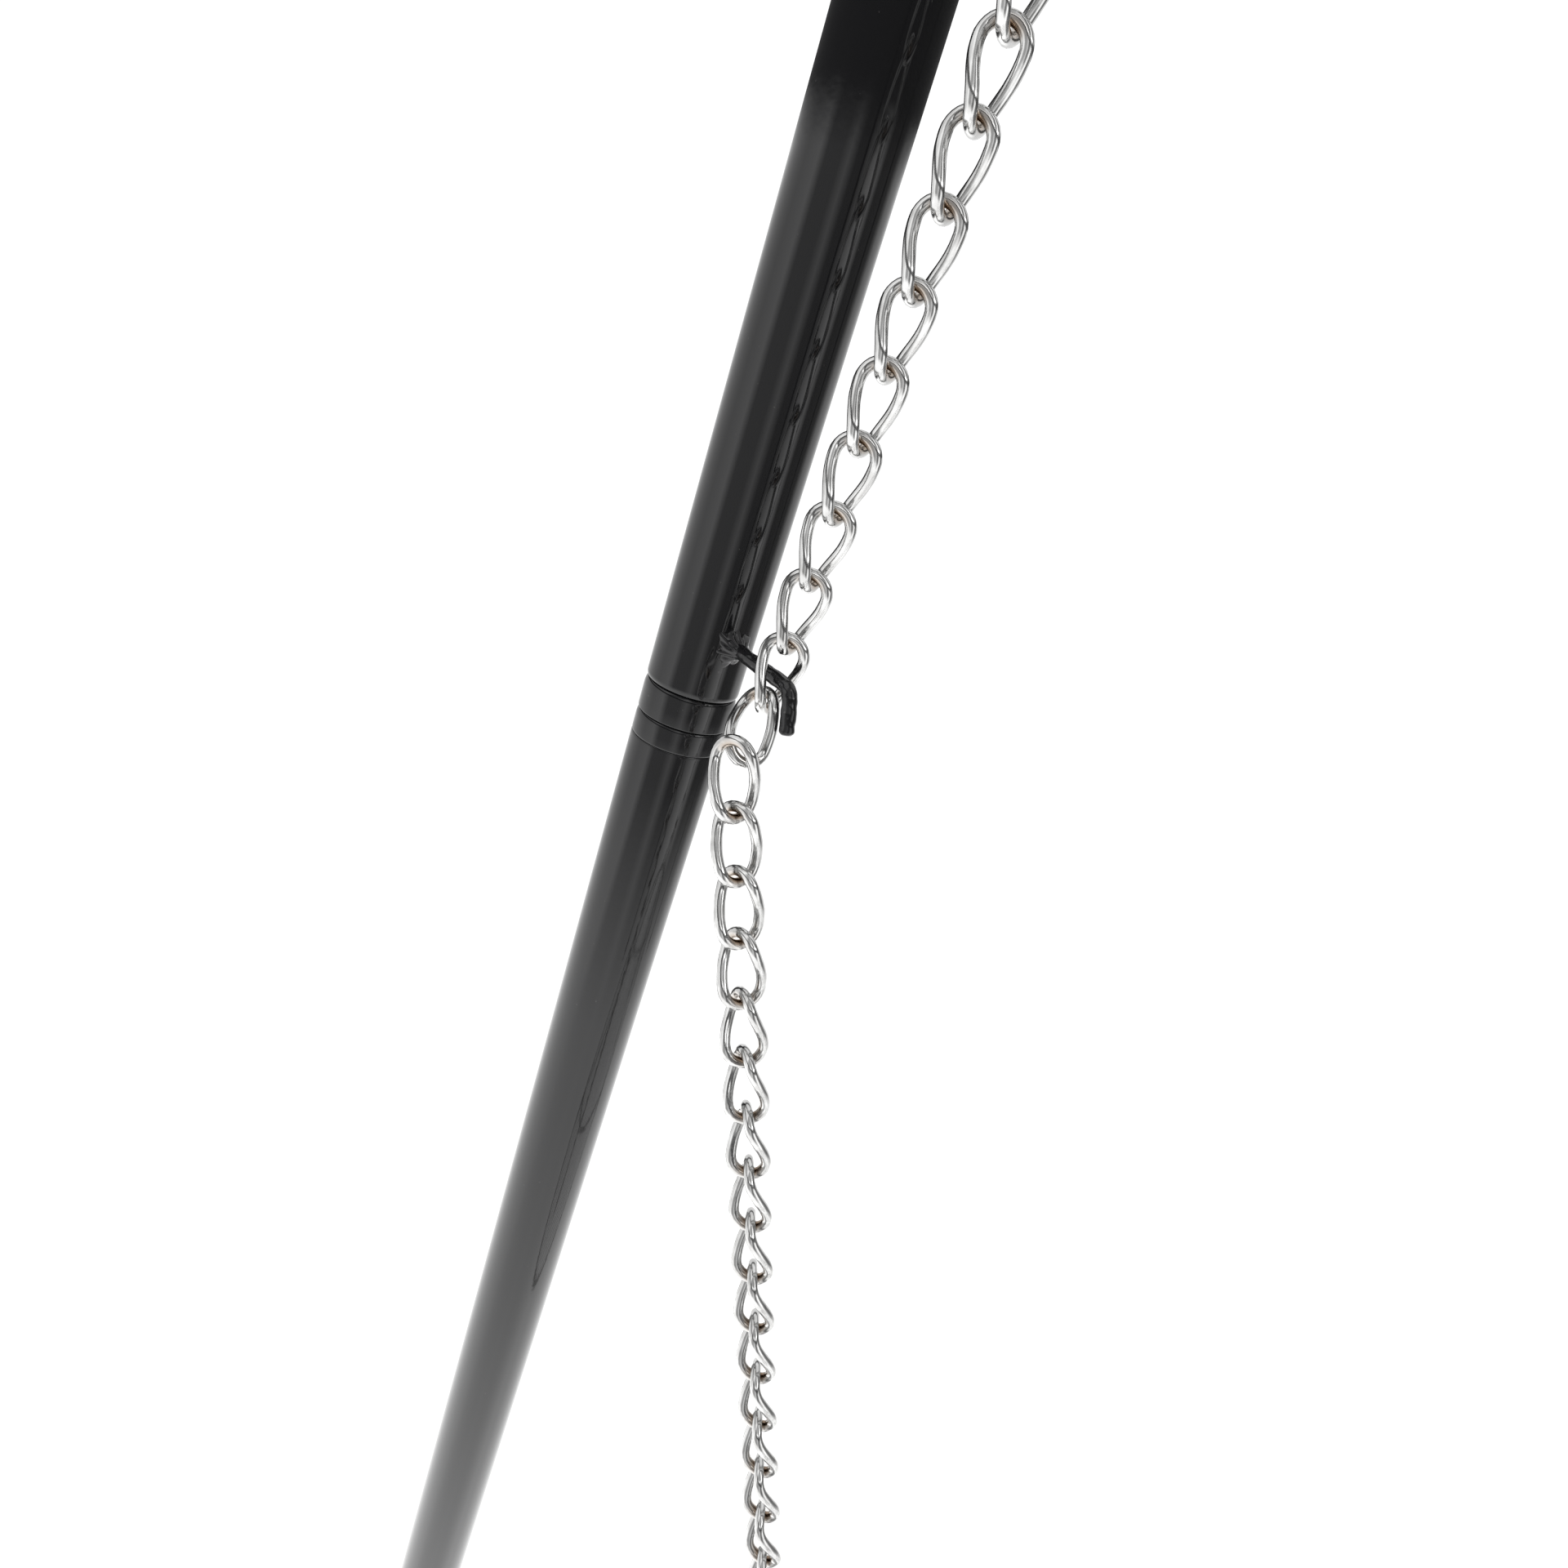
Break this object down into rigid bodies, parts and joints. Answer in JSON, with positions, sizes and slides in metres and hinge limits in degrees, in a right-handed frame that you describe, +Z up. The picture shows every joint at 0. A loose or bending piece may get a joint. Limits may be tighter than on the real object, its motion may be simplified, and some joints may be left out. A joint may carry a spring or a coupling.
{
  "type": "campfire tripod grate",
  "caption": "Standing tripod of sectioned steel tube legs under a hinge plate, with a round cooking grate hung from a chain that runs over the plate's guide to a hook on a leg.",
  "frame": {"origin": "on the ground, at the middle of the rectangle that encloses the tripod; the hub stands off it along +X", "axes": "+Z up; the leg with the chain hook points to -X; the whole is alike on its +Y and -Y sides but for the hook and its chain"},
  "size_m": [1.0354, 1.1904, 1.5799],
  "materials": {
    "black_paint": "gloss black enamel",
    "zinc": "bright zinc plate",
    "foot_rubber": "satin moulded rubber"
  },
  "bodies": {
    "hub": {"hub_plate": "black_paint", "hub_ears": "black_paint", "chain_guide": "black_paint", "pivot_bolts": "zinc", "pivot_nuts": "zinc", "pivot_washers": "zinc", "guide_link": "zinc"},
    "leg_a_upper": {"leg_a_tongue": "black_paint", "leg_a_upper_tube": "black_paint", "leg_a_upper_socket": "black_paint", "chain_hook": "black_paint", "hook_weld": "black_paint", "run_chain": "zinc", "caught_link": "zinc"},
    "leg_a_middle": {"leg_a_middle_plug": "black_paint", "leg_a_middle_tube": "black_paint", "leg_a_middle_socket": "black_paint"},
    "leg_a_lower": {"leg_a_lower_plug": "black_paint", "leg_a_lower_tube": "black_paint", "leg_a_foot": "foot_rubber"},
    "leg_b_upper": {"leg_b_tongue": "black_paint", "leg_b_upper_tube": "black_paint", "leg_b_upper_socket": "black_paint"},
    "leg_b_middle": {"leg_b_middle_plug": "black_paint", "leg_b_middle_tube": "black_paint", "leg_b_middle_socket": "black_paint"},
    "leg_b_lower": {"leg_b_lower_plug": "black_paint", "leg_b_lower_tube": "black_paint", "leg_b_foot": "foot_rubber"},
    "leg_c_upper": {"leg_c_tongue": "black_paint", "leg_c_upper_tube": "black_paint", "leg_c_upper_socket": "black_paint"},
    "leg_c_middle": {"leg_c_middle_plug": "black_paint", "leg_c_middle_tube": "black_paint", "leg_c_middle_socket": "black_paint"},
    "leg_c_lower": {"leg_c_lower_plug": "black_paint", "leg_c_lower_tube": "black_paint", "leg_c_foot": "foot_rubber"},
    "spare_chain": {"spare_chain": "zinc"},
    "main_chain": {"main_chain": "zinc"},
    "hanger": {"carrying_hook": "zinc"},
    "grate": {"gather_ring": "zinc", "grate_chain_a": "zinc", "grate_chain_b": "zinc", "grate_chain_c": "zinc", "rim_hooks": "zinc", "grate_rim": "zinc", "grate_bars": "zinc", "grate_cross_rods": "zinc"}
  },
  "joints": [
    {"name": "leg_a_fold", "type": "hinge", "parent": "hub", "child": "leg_a_upper", "pos_m": [0.12126, 0, 1.56094], "axis": [0, -1, 0], "range_deg": [0, 7]},
    {"name": "leg_a_middle_pull", "type": "slide", "parent": "leg_a_upper", "child": "leg_a_middle", "axis": [-0.3697, 0, -0.9291], "range_m": [0, 0.046]},
    {"name": "leg_a_lower_pull", "type": "slide", "parent": "leg_a_middle", "child": "leg_a_lower", "axis": [-0.3697, 0, -0.9291], "range_m": [0, 0.046]},
    {"name": "leg_b_fold", "type": "hinge", "parent": "hub", "child": "leg_b_upper", "pos_m": [0.19026, 0.03984, 1.56094], "axis": [-0.866, 0.5, 0], "range_deg": [0, 7]},
    {"name": "leg_b_middle_pull", "type": "slide", "parent": "leg_b_upper", "child": "leg_b_middle", "axis": [0.1849, 0.3202, -0.9291], "range_m": [0, 0.046]},
    {"name": "leg_b_lower_pull", "type": "slide", "parent": "leg_b_middle", "child": "leg_b_lower", "axis": [0.1849, 0.3202, -0.9291], "range_m": [0, 0.046]},
    {"name": "leg_c_fold", "type": "hinge", "parent": "hub", "child": "leg_c_upper", "pos_m": [0.19026, -0.03984, 1.56094], "axis": [0.866, 0.5, 0], "range_deg": [0, 7]},
    {"name": "leg_c_middle_pull", "type": "slide", "parent": "leg_c_upper", "child": "leg_c_middle", "axis": [0.1849, -0.3202, -0.9291], "range_m": [0, 0.046]},
    {"name": "leg_c_lower_pull", "type": "slide", "parent": "leg_c_middle", "child": "leg_c_lower", "axis": [0.1849, -0.3202, -0.9291], "range_m": [0, 0.046]},
    {"name": "spare_chain_swing", "type": "hinge", "parent": "leg_a_upper", "child": "spare_chain", "pos_m": [-0.0529, -0.02991, 1.03924], "axis": [0, 1, 0], "range_deg": [-12, 12]},
    {"name": "main_chain_swing", "type": "hinge", "parent": "hub", "child": "main_chain", "pos_m": [0.17676, 0, 1.55754], "axis": [0, 1, 0], "range_deg": [-3, 3]},
    {"name": "grate_height", "type": "slide", "parent": "main_chain", "child": "hanger", "axis": [0, 0, 1], "range_m": [0, 0.12], "deforming": ["main_chain"]},
    {"name": "grate_turn", "type": "hinge", "parent": "hanger", "child": "grate", "pos_m": [0.17676, 0, 0.769], "axis": [0, 0, 1], "range_deg": [-40, 40]}
  ]
}
